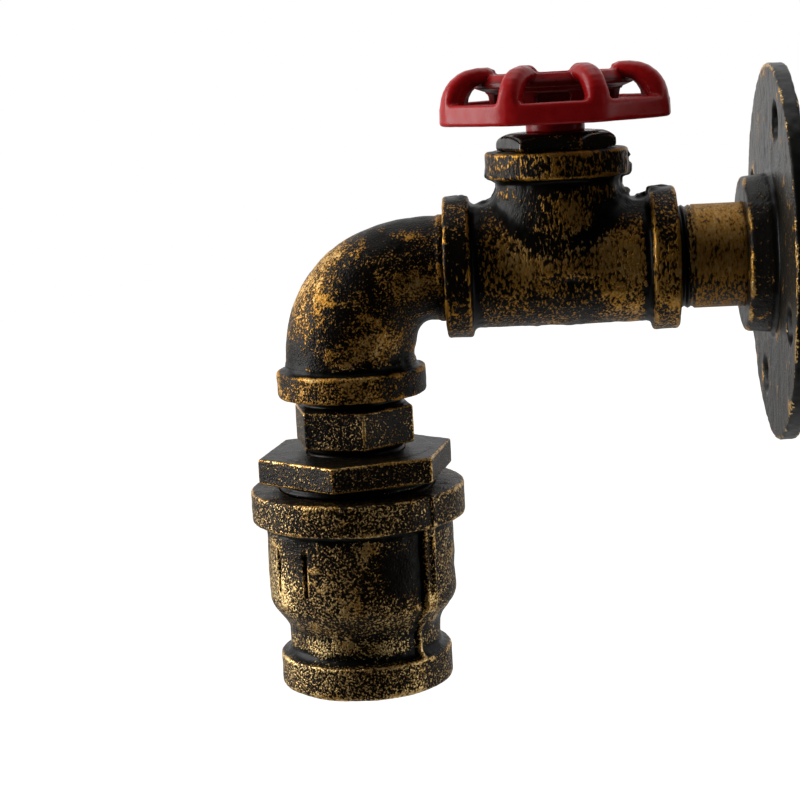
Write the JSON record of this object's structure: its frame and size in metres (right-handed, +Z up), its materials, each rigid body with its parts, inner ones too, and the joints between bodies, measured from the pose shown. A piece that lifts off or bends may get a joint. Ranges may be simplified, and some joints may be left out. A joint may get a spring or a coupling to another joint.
{
  "type": "pipe wall light",
  "caption": "Wall light of threaded iron pipe fittings: round wall flange, tee with a valve wheel that turns a rotary switch, and an elbow that carries a cup-shaped lampholder, mouth down.",
  "frame": {"origin": "centre of the wall flange's rear face, on the arm's axis", "axes": "+X into the wall along the arm's axis, so the arm runs out along -X; +Z up, along the valve wheel's axis"},
  "size_m": [0.1428, 0.097, 0.1611],
  "materials": {
    "flange_iron": "charcoal paint with worn bronze edges",
    "bronzed_iron": "black paint dry-brushed with antique bronze",
    "black_metal": "black gloss paint",
    "red_enamel": "gloss red enamel",
    "steel": "zinc plated",
    "brass": "bright",
    "porcelain": "glazed white",
    "phenolic": "dark moulding",
    "nylon": "natural",
    "seal_rubber": "matt",
    "flex_black": "matt",
    "core_brown": "matt",
    "core_blue": "matt",
    "core_green": "matt"
  },
  "bodies": {
    "wall_mount": {"wall_flange": "flange_iron", "flange_nipple": "bronzed_iron", "entry_bush": "nylon", "terminal_block": "nylon", "terminal_screws": "steel", "live_wire": "core_brown", "neutral_wire": "core_blue", "earth_wire": "core_green", "switched_wire": "flex_black", "arm_flex": "flex_black", "pipe_tee": "bronzed_iron", "bonnet": "black_metal", "stem_seal": "seal_rubber", "switch_case": "phenolic", "switch_cover": "phenolic", "switch_contacts": "brass", "switch_ring": "steel"},
    "valve_wheel": {"handwheel": "red_enamel", "stem": "steel", "wheel_washer": "steel", "wheel_nut": "steel", "switch_rotor": "phenolic", "rotor_bridge": "brass"},
    "lamp_head": {"street_elbow": "bronzed_iron", "hex_nipple": "bronzed_iron", "hex_bushing": "bronzed_iron", "reducing_coupling": "bronzed_iron", "adaptor_plug": "steel", "holder_tube": "brass", "lock_nut": "steel", "earth_tag": "brass", "holder_cap": "porcelain", "holder_body": "porcelain", "screw_shell": "brass", "centre_contact": "brass", "holder_screws": "steel", "head_flex": "flex_black", "holder_leads": "core_brown"}
  },
  "joints": [
    {"name": "wheel_turn", "type": "hinge", "parent": "wall_mount", "child": "valve_wheel", "pos_m": [-0.0582, 0, 0.0339], "axis": [0, 0, -1], "range_deg": [0, 270]},
    {"name": "elbow_swivel", "type": "hinge", "parent": "wall_mount", "child": "lamp_head", "pos_m": [-0.0817, 0, 0], "axis": [1, 0, 0], "range_deg": [-90, 90]}
  ]
}
